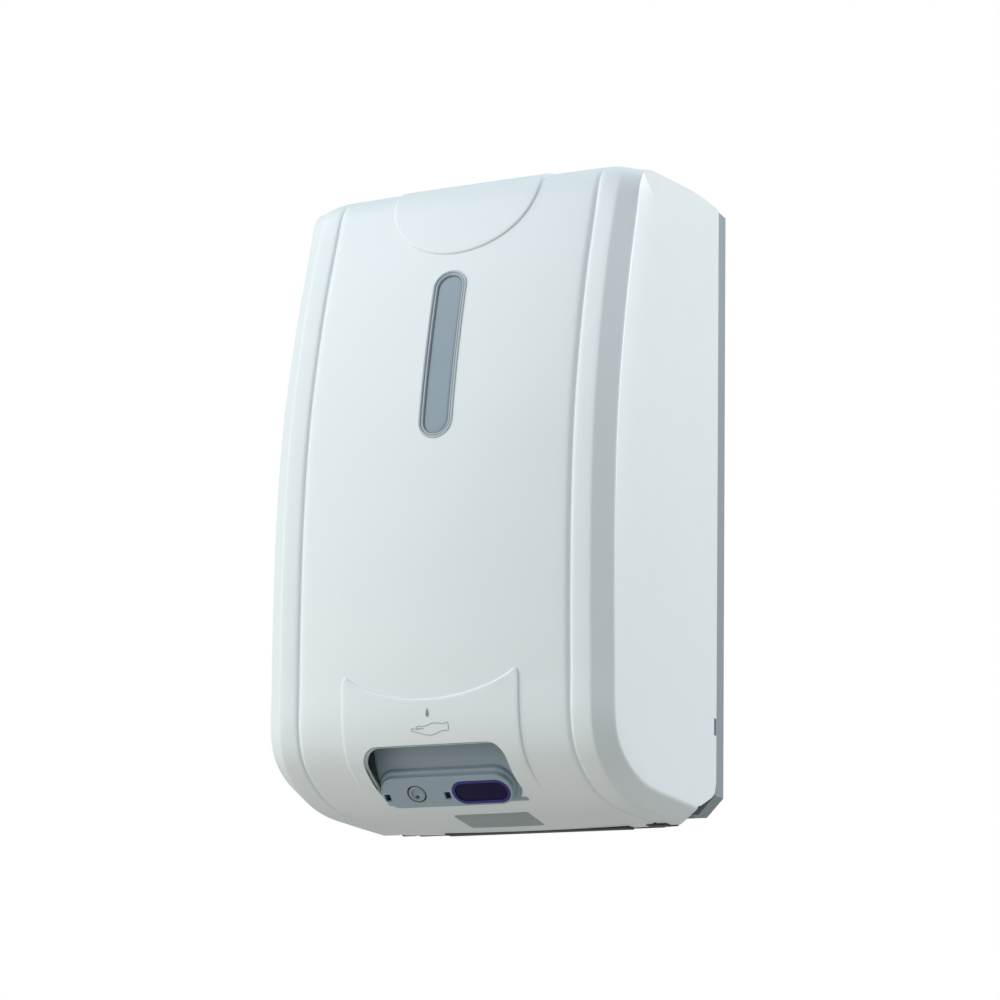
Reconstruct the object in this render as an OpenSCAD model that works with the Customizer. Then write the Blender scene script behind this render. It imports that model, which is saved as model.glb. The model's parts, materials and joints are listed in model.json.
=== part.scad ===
// Wall-mounted touch-free soap dispenser with a hinged front cover,
// refillable tank, hose pump, geared motor, four-cell battery box
// and a nose that holds the nozzle and the sensor.
//
// Layout: X across, Y = minus the depth from the wall, Z up.
// The origin is the middle of the wall-screw pattern on the wall plane.
// Helper modules take x, depth (from the wall) and height (from the base line).

/* [Overall] */
// width over the cover's sides
body_w = 156; // [140:1:180]
// height of the cover's top edge above the base line
top_h = 272; // [260:1:290]
// base line to the middle of the wall screws
mid_h = 132; // [120:1:140]
// wall thickness of the cover
wall = 2.2; // [1.8:0.1:3]
// depth of the back plate's rim, seen as a grey strip
rim_d = 10; // [6:0.5:14]

/* [Wall screws] */
// spacing across
screw_dx = 120; // [110:1:124]
// spacing up
screw_dz = 236; // [230:1:240]
// hole radius
screw_r = 2.75; // [2:0.25:4]

/* [Window] */
// slot width
slot_w = 14; // [10:0.5:20]
// lower and upper end of the slot above the base line
slot_z0 = 143; // [120:1:160]
slot_z1 = 218; // [200:1:230]

/* [Tank] */
// width, depth and height of the tank
tank_w = 126; // [100:1:136]
tank_d = 70; // [50:1:76]
tank_h = 116; // [90:1:118]
// tank wall
tank_t = 2; // [1.6:0.1:3]
// depth of the filler lid
lid_d = 28; // [22:1:29]

/* [Batteries] */
// cell diameter and length
cell_dia = 26; // [20:0.5:33]
cell_len = 50; // [44:0.5:60]
// cells side by side
cells = 4; // [2:1:4]

/* [Pump] */
// gear module
gear_m = 0.8; // [0.6:0.1:1]
// teeth on the pump gear and on the motor pinion
gear_teeth = 48; // [40:4:60]
pinion_teeth = 12; // [12:1:16]
// radius of the hose path
hose_path = 18.5; // [17:0.5:20]
// hose outer and inner radius
hose_r = 3; // [2.5:0.25:3.5]
hose_bore = 1.6; // [1:0.1:2]

/* [Nose] */
// width of the nose block
nose_w = 58; // [50:1:62]
// nozzle position across
nozzle_x = -13; // [-20:1:-6]
// sensor window position across and its size
eye_x = 15; // [8:1:18]
eye_w = 25; // [18:1:30]

/* [Hidden] */
half = body_w / 2;
pump_x = -38;
pump_h = 38;
motor_x = pump_x + gear_m * (gear_teeth + pinion_teeth) / 2;
hinge_d = 22;
hinge_h = -2;
// ends of the pump hose on the feed side and the outlet side
hose_in = 68;
hose_out = 50;
tank_d0 = 16;
tank_h0 = 104;
tank_h1 = tank_h0 + tank_h;
lid_hinge_d = 30;
lid_hinge_h = tank_h1 + 3;
box_x0 = -46;
box_w = cells * 27.5 + 4;
box_x1 = box_x0 + box_w;
box_d0 = 12;
box_d1 = 70;
box_h0 = 66;
box_h1 = 98;
door_h = 30;
panel_d = 58;
face_d1 = 112.5;
face_h1 = 4.5;
face_d0 = 101.5;
face_h0 = -6;
$fn = 48;

// ---------- helpers ----------
module blk(x, d, h) {
  translate([x[0], -d[1], h[0] - mid_h])
    cube([x[1] - x[0], d[1] - d[0], h[1] - h[0]]);
}
module rod_x(d, h, r, x0, x1) {
  translate([x0, -d, h - mid_h]) rotate([0, 90, 0]) cylinder(r = r, h = x1 - x0);
}
module rod_y(x, h, r, d0, d1) {
  translate([x, -d0, h - mid_h]) rotate([90, 0, 0]) cylinder(r = r, h = d1 - d0);
}
module rod_z(x, d, r, h0, h1) {
  translate([x, -d, h0 - mid_h]) cylinder(r = r, h = h1 - h0);
}
// a prism along X from [depth, height] points
module side_prism(pts, x0, x1) {
  translate([x0, 0, -mid_h]) rotate([90, 0, 90]) linear_extrude(x1 - x0)
    polygon([for (p = pts) [-p[0], p[1]]]);
}
// a vertical outline from [x, height] points pushed through in depth
module front_prism(pts, d0, d1) {
  translate([0, -d0, -mid_h]) rotate([90, 0, 0]) linear_extrude(d1 - d0) polygon(pts);
}
// bent pipe in a plane: quarter torus
module elbow(r, bend) {
  rotate_extrude(angle = 90) translate([bend, 0]) circle(r = r);
}

// ---------- side profile of the cover: [depth, height] ----------
KEYS = [[10, 272], [26, 271.6], [44, 270], [62, 267.4], [80, 264], [94, 260.4], [101.5, 257.6],
  [105.4, 254.6], [108.2, 251], [110.9, 246], [113.9, 237.2], [119.9, 216.4], [124.1, 198],
  [127, 181.4], [130.8, 157.4], [133, 125], [133.1, 100], [132.3, 70], [130.9, 42], [128.8, 24],
  [126, 15.5], [120.5, 8.2], [112, 1.8], [104, -2], [95, -4.8], [85, -6.4], [60, -7.5], [31, -8]];
function lerp(a, b, t) = a + (b - a) * t;
function unit(v) = v / norm(v);
function tang(p, i) = unit(p[min(i + 1, len(p) - 1)] - p[max(i - 1, 0)]);
function outw(p, i) = let(t = tang(p, i)) [-t[1], t[0]];
function ramp(v, a, b) = max(0, min(1, (v - a) / (b - a)));
// roll the profile in by h: the front moves back, the underside up, the top only a little down
function inset(p, h) = [for (q = p) [q[0] - h * ramp(q[0], 92, 120),
  q[1] + h * (1 - ramp(q[1], -8, 40)) - 0.25 * h * ramp(q[1], 230, 262)]];
function inset_all(p, h) = [for (i = [0:len(p) - 1]) p[i] - outw(p, i) * h];
// rear edge with the corner cut that shows the grey deck
REAR = [[30, -3], [22, 4.5], [13, 9], [rim_d + 1, 16]];
function ring_out(h) = concat(inset(KEYS, h),
  [for (q = REAR) [q[0], q[1] + (q[1] < 0 ? h : 0)]]);
function ring_in(h) = concat([[-5, inset(KEYS, h)[0][1] - wall]], inset_all(inset(KEYS, h), wall),
  [[31, -20], [-5, -20]]);
// inset across the width: crown, rolled edge, band and 45 degree facet
CROSS = [[0, 0], [20, 0.3], [40, 1.1], [54, 1.9], [60, 2.4], [71.2, 2.9], [74.6, 5.9], [half, 9.3]];
function crossed(s) = concat([for (i = [len(s) - 1:-1:1]) [-s[i][0], s[i][1]]], s);
CROSS_IN = [[0, 0], [40, 1.1], [60, 2.4], [71, 3], [half - wall, 7.6]];
// solid lofted from closed rings at stations along X
module loft(st, rings) {
  n = len(rings[0]);
  m = len(st);
  hub = [for (k = [0, m - 1]) [st[k][0], -20, 120 - mid_h]];
  pts = [for (k = [0:m - 1]) for (q = rings[k]) [st[k][0], -q[0], q[1] - mid_h]];
  sides = [for (k = [0:m - 2]) for (i = [0:n - 1]) let(a = k * n + i, b = k * n + (i + 1) % n)
    each [[b, a, b + n], [b + n, a, a + n]]];
  caps = [for (i = [0:n - 1]) let(j = (i + 1) % n)
    each [[i, j, m * n], [(m - 1) * n + j, (m - 1) * n + i, m * n + 1]]];
  polyhedron(concat(pts, hub), concat(sides, caps));
}
// layer that follows the cover's front between two insets, over a width
module skin(h0, h1, x0, x1) {
  a = inset_all(KEYS, h0);
  b = inset_all(KEYS, h1);
  side_prism(concat([for (i = [8:23]) a[i]], [for (i = [23:-1:8]) b[i]]), x0, x1);
}

// ---------- gears ----------
function inv_deg(a) = tan(a) * 180 / PI - a;
function half_angle(rho, n, m, pa) = let(r = n * m / 2, rb = r * cos(pa))
  90 / n * 0.94 + inv_deg(pa) - (rho > rb ? inv_deg(acos(rb / rho)) : 0);
function tooth(n, m, pa, ra, rd) = let(rb = n * m / 2 * cos(pa), r0 = max(rd, rb))
  concat([[rd, -half_angle(r0, n, m, pa)]],
    [for (k = [0:4]) let(q = lerp(r0, ra, k / 4)) [q, -half_angle(q, n, m, pa)]],
    [for (k = [4:-1:0]) let(q = lerp(r0, ra, k / 4)) [q, half_angle(q, n, m, pa)]],
    [[rd, half_angle(r0, n, m, pa)]]);
function gear_pts(n, m, pa, turn) = let(r = n * m / 2, t = tooth(n, m, pa, r + 0.8 * m, r - m))
  [for (k = [0:n - 1]) for (q = t) let(a = 360 / n * k + q[1] + turn) [q[0] * cos(a), q[0] * sin(a)]];
module gear_y(x, h, n, turn, d0, d1) {
  translate([x, -d0, h - mid_h]) rotate([90, 0, 0]) linear_extrude(d1 - d0)
    polygon(gear_pts(n, gear_m, 25, turn));
}

// ---------- chassis ----------
module back_plate() color([0.55, 0.6, 0.62]) difference() {
  union() {
    blk([-half + 8, half - 8], [0, 3], [0, top_h - 0.5]);
    blk([-half + 0.5, half - 0.5], [0, 3], [8, top_h - 0.5]);
    // rim
    blk([-half + 0.5, -half + 3], [0, rim_d - 0.3], [8, top_h - 0.5]);
    blk([half - 3, half - 0.5], [0, rim_d - 0.3], [8, top_h - 0.5]);
    blk([-half + 0.5, half - 0.5], [0, rim_d - 0.3], [top_h - 3, top_h - 0.5]);
    // lower corners
    for (s = [-1, 1]) front_prism([[s * (half - 0.5), 8], [s * (half - 8), 0], [s * (half - 12), 0],
      [s * (half - 3), 10]], 0, 10);
    // posts for the main board
    for (x = [11, 65], z = [23, 57]) rod_y(x, z, 3, 2.9, 49.95);
  }
  for (x = [-1, 1], z = [-1, 1])
    rod_y(x * screw_dx / 2, mid_h + z * screw_dz / 2, screw_r, -1, 4);
}
module lower_deck() color([0.5, 0.55, 0.57]) difference() {
  side_prism([[3, 0.5], [14, 0.5], [16, 4], [16, 9], [3, 9]], -half + 12, half - 12);
  for (x = [-40, 0, 40]) blk([x - 14, x + 14], [5, 12], [2.5, 10]);
}
module soap_tank() color([0.88, 0.92, 0.94, 0.6]) {
  difference() {
    union() {
      blk([-tank_w / 2, tank_w / 2], [tank_d0, tank_d0 + tank_d], [tank_h0, tank_h1]);
      // hanging rails on the back
      for (x = [-40, 40]) blk([x - 8, x + 8], [3.1, tank_d0], [tank_h1 - 18, tank_h1 - 8]);
      for (x = [-40, 40]) blk([x - 8, x + 8], [3.1, tank_d0], [tank_h0 + 8, tank_h0 + 14]);
    }
    blk([-tank_w / 2 + tank_t, tank_w / 2 - tank_t],
      [tank_d0 + tank_t, tank_d0 + tank_d - tank_t], [tank_h0 + tank_t, tank_h1 - tank_t]);
    // filler mouth
    blk([-32, 32], [lid_hinge_d + 5, lid_hinge_d + lid_d - 5], [tank_h1 - 5, tank_h1 + 1]);
    // outlet hole
    rod_z(pump_x - hose_path, 50, 3.6, tank_h0 - 1, tank_h0 + tank_t + 1);
  }
  // lid hinge lugs
  for (x = [-30, 30]) difference() {
    union() {
      blk([x - 3, x + 3], [lid_hinge_d - 3, lid_hinge_d + 3], [tank_h1 - 0.5, lid_hinge_h]);
      rod_x(lid_hinge_d, lid_hinge_h, 3, x - 3, x + 3);
    }
    rod_x(lid_hinge_d, lid_hinge_h, 1.55, x - 4, x + 4);
  }
}
module tank_outlet() color([0.3, 0.33, 0.36]) difference() {
  union() {
    rod_z(pump_x - hose_path, 50, 3.55, tank_h0 - 4, tank_h0 + tank_t + 1.5);
    rod_z(pump_x - hose_path, 50, 5.5, tank_h0 - 3, tank_h0 - 0.1);
    rod_z(pump_x - hose_path, 50, 2, tank_h0 - 12, tank_h0 - 3);
  }
  rod_z(pump_x - hose_path, 50, 1.2, tank_h0 - 13, tank_h0 + tank_t + 2);
}
module battery_box() color([0.32, 0.35, 0.38]) {
  difference() {
    blk([box_x0, box_x1], [box_d0, box_d1], [box_h0, box_h1]);
    blk([box_x0 + 2, box_x1 - 2], [box_d0 + 2, box_d1 + 1], [box_h0 + 2, box_h1 - 2]);
  }
  for (k = [1:cells - 1]) blk([box_x0 + 2 + 27.5 * k - 0.4, box_x0 + 2 + 27.5 * k + 0.4],
    [box_d0 + 2, box_d1 - 20], [box_h0 + 1.9, box_h0 + 9]);
  for (x = [box_x0 + 10, box_x1 - 10]) blk([x - 5, x + 5], [3.1, box_d0], [box_h0 + 6, box_h1 - 6]);
  // door hinge lugs under the mouth
  for (x = [box_x0 + 14, box_x1 - 14]) difference() {
    union() {
      blk([x - 3, x + 3], [box_d1 - 6, box_d1 + 1], [box_h0 - 4.8, box_h0 + 0.1]);
      rod_x(box_d1 + 1, box_h0 - 2.3, 2.5, x - 3, x + 3);
    }
    rod_x(box_d1 + 1, box_h0 - 2.3, 1.25, x - 4, x + 4);
  }
}
module cell_at(x) {
  h = (box_h0 + box_h1) / 2;
  rod_y(x, h, cell_dia / 2, box_d0 + 4, box_d0 + 4 + cell_len - 1.6);
  rod_y(x, h, 3.4, box_d0 + 4 + cell_len - 2, box_d0 + 4 + cell_len);
}
module battery_cells() color([0.2, 0.3, 0.5])
  for (k = [0:cells - 1]) cell_at(box_x0 + 2 + 27.5 * (k + 0.5));
module battery_contacts() color([0.75, 0.76, 0.78]) for (k = [0:cells - 1]) {
  x = box_x0 + 2 + 27.5 * (k + 0.5);
  blk([x - 6, x + 6], [box_d0 + 2, box_d0 + 2.6], [box_h0 + 9, box_h1 - 9]);
  rod_y(x, (box_h0 + box_h1) / 2, 3, box_d0 + 2.5, box_d0 + 3.9);
}
module pump_housing() color([0.3, 0.33, 0.36]) difference() {
  union() {
    rod_y(pump_x, pump_h, 24.5, 40, 60);
    blk([pump_x - 22, pump_x + 22], [3.1, 40.5], [pump_h - 8, pump_h + 8]);
    blk([pump_x - 22, pump_x - 15], [40, 60], [pump_h, pump_h + 26]);
    blk([pump_x + 15, pump_x + 22], [40, 60], [pump_h, hose_out - 1]);
  }
  rod_y(pump_x, pump_h, 22, 42, 61);
  for (s = [-1, 1]) rod_z(pump_x + s * hose_path, 50, 3.1, pump_h, pump_h + 27);
  rod_y(pump_x, pump_h, 3.05, 34, 43);
  blk([pump_x - 18, pump_x + 18], [5, 33], [pump_h - 6, pump_h + 6]);
}
module pump_cover() color([0.4, 0.43, 0.46]) difference() {
  rod_y(pump_x, pump_h, 24.5, 60.05, 61.5);
  rod_y(pump_x, pump_h, 4.05, 59, 63);
}
// hose: down the left, round the bottom and up the right
module hose_u(r) {
  rod_z(pump_x - hose_path, 50, r, pump_h - 0.01, hose_in);
  rod_z(pump_x + hose_path, 50, r, pump_h - 0.01, hose_out);
  translate([pump_x, -50, pump_h - mid_h]) rotate([90, 0, 0]) rotate([0, 0, 180])
    rotate_extrude(angle = 180) translate([hose_path, 0]) circle(r = r);
}
module pump_hose() color([0.85, 0.8, 0.7]) difference() {
  hose_u(hose_r);
  hose_u(hose_bore);
  rod_z(pump_x - hose_path, 50, hose_bore, hose_in - 1, hose_in + 1);
  rod_z(pump_x + hose_path, 50, hose_bore, hose_out - 1, hose_out + 1);
}
module feed_tube() color([0.9, 0.92, 0.93]) difference() {
  union() {
    rod_z(pump_x - hose_path, 50, 3, hose_in + 0.1, tank_h0 - 4.1);
    rod_z(pump_x - hose_path, 50, hose_bore - 0.05, hose_in - 8, hose_in + 1);
  }
  rod_z(pump_x - hose_path, 50, 2.05, tank_h0 - 13, tank_h0 - 3);
  rod_z(pump_x - hose_path, 50, 1, hose_in - 9, tank_h0);
}
out_x = pump_x + hose_path;
module outlet_run(r) {
  rod_z(out_x, 50, r, hose_out + 0.1, hose_out + 4);
  translate([out_x, -55, hose_out + 4 - mid_h]) rotate([0, 0, 90]) rotate([90, 0, 0]) elbow(r, 5);
  rod_y(out_x, hose_out + 9, r, 55, 97);
  translate([out_x, -97, hose_out + 4 - mid_h]) rotate([0, 0, -90]) rotate([90, 0, 0]) elbow(r, 5);
  rod_z(out_x, 102, r, 20, hose_out + 4);
}
module outlet_tube() color([0.9, 0.92, 0.93]) difference() {
  union() {
    outlet_run(2.6);
    rod_z(out_x, 50, hose_bore - 0.05, hose_out - 6, hose_out + 0.5);
  }
  outlet_run(1.2);
  rod_z(out_x, 50, 0.9, hose_out - 7, hose_out + 1);
  rod_z(out_x, 102, 1.2, 19, 21);
}
module nozzle() color([0.75, 0.77, 0.78]) difference() {
  union() {
    rod_z(out_x, 102, 3.6, 5, 19.9);
    translate([nozzle_x, -106.5, -3 - mid_h]) rotate([-45, 0, 0]) cylinder(r = 4.4, h = 12);
    blk([out_x - 3.6, nozzle_x + 4], [97.5, 104], [4.8, 10]);
  }
  rod_z(out_x, 102, 1.2, 7, 21);
  translate([nozzle_x, -106.5, -3 - mid_h]) rotate([-45, 0, 0])
    translate([0, 0, -1]) cylinder(r = 2.2, h = 8);
}
module nozzle_tip() color([0.15, 0.16, 0.18]) translate([nozzle_x, -106.5, -3 - mid_h])
  rotate([-45, 0, 0]) difference() {
    translate([0, 0, -0.6]) cylinder(r = 2.15, h = 4);
    translate([0, 0, -1]) cylinder(r = 0.9, h = 6);
  }
module motor() color([0.7, 0.71, 0.73]) difference() {
  union() {
    rod_y(motor_x, pump_h, 12, 72, 98);
    rod_y(motor_x, pump_h, 4, 70, 73);
    rod_y(motor_x, pump_h, 3, 97, 99);
  }
  rod_y(motor_x, pump_h, 1.05, 69, 90);
}
module motor_bracket() color([0.32, 0.35, 0.38]) {
  difference() {
    rod_y(motor_x, pump_h, 13.8, 74, 92);
    rod_y(motor_x, pump_h, 12.05, 73, 93);
  }
  blk([motor_x + 13, 8], [74, 92], [pump_h - 4, pump_h + 4]);
  blk([5, 8], [60.05, 92], [pump_h - 4, pump_h + 4]);
  blk([4.5, 14], [60.05, 62.4], [pump_h - 8, pump_h + 8]);
}
// ---------- nose ----------
NOSE = [[86, 24], [86, -5.4], [face_d0, face_h0], [face_d1, face_h1], [109.5, 8], [109.5, 24]];
module sensor_housing() color([0.5, 0.56, 0.58]) difference() {
  union() {
    side_prism(NOSE, -nose_w / 2, nose_w / 2);
    // arm back to the control panel
    blk([14, nose_w / 2 - 1], [60.05, 88], [21, 24]);
    blk([14, nose_w / 2 - 1], [60.05, 63], [21, 30]);
  }
  // inside, open at the top
  side_prism([[88, 30], [88, -3.6], [101, -3.6], [107.6, 3.2], [107.6, 30]],
    -nose_w / 2 + 2, nose_w / 2 - 2);
  // slots down to the lower front face
  translate([nozzle_x, -106.5, -3 - mid_h]) rotate([-45, 0, 0])
    translate([0, 0, -4]) cylinder(r = 4.5, h = 9);
  translate([eye_x, -107, -0.75 - mid_h]) rotate([-45, 0, 0])
    cube([eye_w, 9, 8], center = true);
  for (x = [-26, 0.5]) translate([x, -107, -0.75 - mid_h]) rotate([-45, 0, 0])
    cube([2.2, 2.2, 8], center = true);
}
module sensor_window() color([0.12, 0.06, 0.28]) translate([eye_x, -107, -0.75 - mid_h])
  rotate([-45, 0, 0]) translate([-eye_w / 2 + 0.1, -4.4, -0.3]) cube([eye_w - 0.2, 8.8, 1.6]);
module sensor_board() color([0.1, 0.35, 0.2])
  blk([-8, nose_w / 2 - 3], [90, 104], [12, 13.6]);
module ir_diodes() color([0.2, 0.2, 0.25]) for (x = [eye_x - 6, eye_x + 6])
  rod_z(x, 99, 2.5, 3, 11.9);
module status_lenses() color([0.08, 0.08, 0.2]) for (x = [-26, 0.5])
  translate([x, -107, -0.75 - mid_h]) rotate([-45, 0, 0])
    translate([-1, -1, -0.4]) cube([2, 2, 1.6]);

// ---------- electronics ----------
module main_board() color([0.1, 0.35, 0.2]) blk([8, 68], [50, 51.6], [20, 60]);
module board_parts() color([0.12, 0.12, 0.13]) {
  blk([14, 26], [51.65, 53.6], [44, 54]);
  blk([54, 62], [51.65, 54.3], [24, 30]);
  for (x = [34, 46]) rod_y(x, 50, 4, 51.65, 56);
  blk([18, 27], [51.65, 55.5], [27, 33]);
}
sw_x = 26;
sw_h = 36;
bt_x = 50;
module control_panel() color([0.42, 0.46, 0.5]) difference() {
  union() {
    blk([4, 72], [panel_d, panel_d + 2], [20, 62]);
    for (x = [4, 70]) blk([x, x + 2], [3.1, panel_d + 0.1], [20, 62]);
  }
  blk([sw_x - 4, sw_x + 10], [panel_d - 1, panel_d + 3], [sw_h - 3, sw_h + 3]);
  rod_y(bt_x, sw_h, 4.6, panel_d - 1, panel_d + 3);
}
module power_switch() color([0.15, 0.16, 0.17]) {
  blk([sw_x - 3.8, sw_x + 3.8], [panel_d - 0.5, panel_d + 4], [sw_h - 2.8, sw_h + 2.8]);
  blk([sw_x - 5.8, sw_x + 5.8], [panel_d - 2, panel_d - 0.4], [sw_h - 5, sw_h + 5]);
}
module volume_button() color([0.3, 0.5, 0.7]) {
  rod_y(bt_x, sw_h, 4.5, panel_d - 1.5, panel_d + 5);
  rod_y(bt_x, sw_h, 5.6, panel_d - 1.6, panel_d - 0.2);
}
module hinge_rail() color([0.08, 0.08, 0.09]) {
  blk([-58, 58], [hinge_d - 4, hinge_d + 4], [hinge_h - 4, hinge_h + 4]);
  rod_x(hinge_d, hinge_h, 2, -66, 66);
  for (x = [-44, 0, 44]) blk([x - 6, x + 6], [16.1, hinge_d], [hinge_h + 3, hinge_h + 9]);
}
module lock_strike() color([0.3, 0.33, 0.36]) difference() {
  blk([-14, -10], [3.1, 50], [254, 264]);
  blk([-15, -9], [14, 44.5], [257, 262.5]);
}
module frame_screws() color([0.72, 0.73, 0.75]) {
  for (s = [-1, 1]) rod_y(pump_x + s * 16.3, pump_h - 16.3, 1.3, 61.55, 63);
  for (x = [11, 65], z = [23, 57]) rod_y(x, z, 2.4, 51.65, 53.2);
  for (x = [8, 68]) rod_y(x, 25, 2.6, panel_d + 2.05, panel_d + 3.8);
}

// ---------- moving pieces behind the cover ----------
module battery_door() color([0.4, 0.43, 0.46]) {
  blk([box_x0 + 0.5, box_x1 - 0.5], [box_d1 + 0.3, box_d1 + 2.3], [box_h0 + 0.6, box_h0 + 1 + door_h]);
  for (x = [box_x0 + 14, box_x1 - 14]) {
    for (s = [-1, 1]) {
      rod_x(box_d1 + 1, box_h0 - 2.3, 2, x + s * 5 - 1.6, x + s * 5 + 1.6);
      blk([x + s * 5 - 1.6, x + s * 5 + 1.6], [box_d1 + 0.5, box_d1 + 2.3],
        [box_h0 - 2.3, box_h0 + 1.5]);
    }
    rod_x(box_d1 + 1, box_h0 - 2.3, 1.2, x - 6, x + 6);
  }
}
module tank_lid() color([0.55, 0.6, 0.63]) {
  blk([-38, 38], [lid_hinge_d + 3.6, lid_hinge_d + lid_d], [tank_h1 + 0.3, tank_h1 + 3.3]);
  blk([-26, 26], [lid_hinge_d - 1.4, lid_hinge_d + 4], [lid_hinge_h - 1.4, lid_hinge_h + 1.4]);
  rod_x(lid_hinge_d, lid_hinge_h, 1.5, -34, 34);
}
module pump_rotor() color([0.85, 0.86, 0.84]) {
  difference() {
    union() {
      rod_y(pump_x, pump_h, 13, 42.6, 44.4);
      rod_y(pump_x, pump_h, 13, 57.4, 59.2);
    }
  }
  rod_y(pump_x, pump_h, 4, 42.6, 66.5);
  rod_y(pump_x, pump_h, 3, 35, 43);
  for (a = [0:120:240]) rod_y(pump_x + 10 * cos(a), pump_h + 10 * sin(a), 1.5, 44, 58);
  gear_y(pump_x, pump_h, gear_teeth, 0, 62.5, 67.5);
}
module rollers() color([0.25, 0.45, 0.6]) for (a = [0:120:240]) difference() {
  rod_y(pump_x + 10 * cos(a), pump_h + 10 * sin(a), 4.2, 44.8, 57);
  rod_y(pump_x + 10 * cos(a), pump_h + 10 * sin(a), 1.55, 44, 58);
}
module motor_pinion() color([0.8, 0.65, 0.3]) {
  gear_y(motor_x, pump_h, pinion_teeth, 15, 62.5, 68);
  rod_y(motor_x, pump_h, 1, 62.4, 86);
}

// ---------- cover ----------
module slot_cut(g, d0, d1) {
  w = slot_w / 2 - g;
  front_prism([[-w, slot_z0 + g + 3], [-w + 3, slot_z0 + g], [w - 3, slot_z0 + g],
    [w, slot_z0 + g + 3], [w, slot_z1 - g - 3], [w - 3, slot_z1 - g], [-w + 3, slot_z1 - g],
    [-w, slot_z1 - g - 3]], d0, d1);
}
module front_cover() color([0.87, 0.9, 0.92]) difference() {
  loft(crossed(CROSS), [for (s = crossed(CROSS)) ring_out(s[1])]);
  loft(crossed(CROSS_IN), [for (s = crossed(CROSS_IN)) ring_in(s[1])]);
  slot_cut(0, 100, 140);
  // opening for the nose
  front_prism([[-31, -20], [-30.5, 8], [-27, 15], [-25, 15.8], [25, 15.8], [27, 15], [30.5, 8],
    [31, -20]], 84, 140);
  // lock hole in the top
  rod_z(0, 40, 7.1, 255, 280);
}
module cover_hinges() color([0.08, 0.08, 0.09]) for (s = [-1, 1]) difference() {
  union() {
    rod_x(hinge_d, hinge_h, 4.2, s * 62 - 3, s * 62 + 3);
    blk([s * 62 - 3, s * 62 + 3], [hinge_d, 46], [hinge_h - 0.7, hinge_h + 4]);
  }
  rod_x(hinge_d, hinge_h, 2.06, s * 62 - 4, s * 62 + 4);
}
module window_frame() color([0.6, 0.65, 0.68]) difference() {
  intersection() {
    skin(-0.2, 3.4, -8, 8);
    slot_cut(0.1, 100, 140);
  }
  slot_cut(1.6, 90, 145);
}
module window_lens() color([0.6, 0.68, 0.74, 0.6]) intersection() {
  skin(1.4, 2.8, -8, 8);
  slot_cut(1.65, 100, 140);
}
module hand_mark() color([0.55, 0.6, 0.66]) intersection() {
  skin(-0.3, -0.02, -9, 9);
  union() {
    front_prism([for (a = [0:30:330]) [1.7 * cos(a), 29 + 1.7 * sin(a)]], 120, 140);
    front_prism([[-8, 24.5], [-8, 21], [4, 20], [8, 23], [7, 24], [3, 22.5], [-2, 24.5]], 120, 140);
  }
}
module rating_plate() color([0.72, 0.73, 0.74])
  translate([3, -68, -7.55 - mid_h]) rotate([-2.5, 0, 0]) cube([33, 30, 0.5], center = true);
module lock_body() color([0.2, 0.22, 0.24]) difference() {
  union() {
    rod_z(0, 40, 7, 262, 270);
    rod_z(0, 40, 9, 262, 265);
  }
  rod_z(0, 40, 4.06, 261, 271);
}
module lock_core() color([0.75, 0.76, 0.78]) {
  difference() {
    rod_z(0, 40, 4, 258.5, 270.2);
    blk([-0.6, 0.6], [37.5, 42.5], [268, 271]);
  }
  // tongue, pointing at the wall when unlocked
  blk([-3.5, 3.5], [18, 40], [258.5, 261]);
}

back_plate();
lower_deck();
soap_tank();
tank_outlet();
battery_box();
battery_cells();
battery_contacts();
pump_housing();
pump_cover();
pump_hose();
feed_tube();
outlet_tube();
nozzle();
nozzle_tip();
motor();
motor_bracket();
sensor_housing();
sensor_window();
sensor_board();
ir_diodes();
status_lenses();
main_board();
board_parts();
control_panel();
hinge_rail();
lock_strike();
frame_screws();
battery_door();
tank_lid();
pump_rotor();
rollers();
motor_pinion();
power_switch();
volume_button();
front_cover();
cover_hinges();
window_frame();
window_lens();
hand_mark();
rating_plate();
lock_body();
lock_core();
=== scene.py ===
# %% [markdown]
# # Touchless soap dispenser for a bathroom wall
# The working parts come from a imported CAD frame: back plate, tank, batteries, pump, boards.
# This notebook gives the dispenser its looks. The glossy cover is rebuilt as one smooth
# moulding, the nose with its nozzle and sensor window is modelled in detail, and every
# part gets a finish with a fine grain, a slight change of tone and its own gloss.

import bpy
import numpy as np
from mathutils import Matrix, Vector
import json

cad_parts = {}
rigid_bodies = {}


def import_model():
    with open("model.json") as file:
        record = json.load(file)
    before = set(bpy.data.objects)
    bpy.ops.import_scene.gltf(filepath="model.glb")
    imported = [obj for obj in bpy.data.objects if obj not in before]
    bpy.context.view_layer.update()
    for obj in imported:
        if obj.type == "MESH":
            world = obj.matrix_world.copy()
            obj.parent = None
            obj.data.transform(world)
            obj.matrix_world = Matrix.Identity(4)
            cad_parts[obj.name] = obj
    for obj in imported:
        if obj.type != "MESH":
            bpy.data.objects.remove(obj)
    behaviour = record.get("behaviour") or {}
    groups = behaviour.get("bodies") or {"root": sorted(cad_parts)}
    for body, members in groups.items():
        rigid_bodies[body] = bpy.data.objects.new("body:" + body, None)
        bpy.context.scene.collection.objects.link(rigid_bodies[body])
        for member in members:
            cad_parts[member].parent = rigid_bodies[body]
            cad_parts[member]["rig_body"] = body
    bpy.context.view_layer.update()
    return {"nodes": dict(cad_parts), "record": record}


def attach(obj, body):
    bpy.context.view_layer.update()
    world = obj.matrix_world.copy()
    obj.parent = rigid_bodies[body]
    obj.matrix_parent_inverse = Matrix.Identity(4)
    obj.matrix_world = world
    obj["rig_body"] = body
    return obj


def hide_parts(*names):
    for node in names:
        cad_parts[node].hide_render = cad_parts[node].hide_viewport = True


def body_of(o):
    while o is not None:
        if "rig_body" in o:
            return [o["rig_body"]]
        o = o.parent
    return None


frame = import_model()

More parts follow.
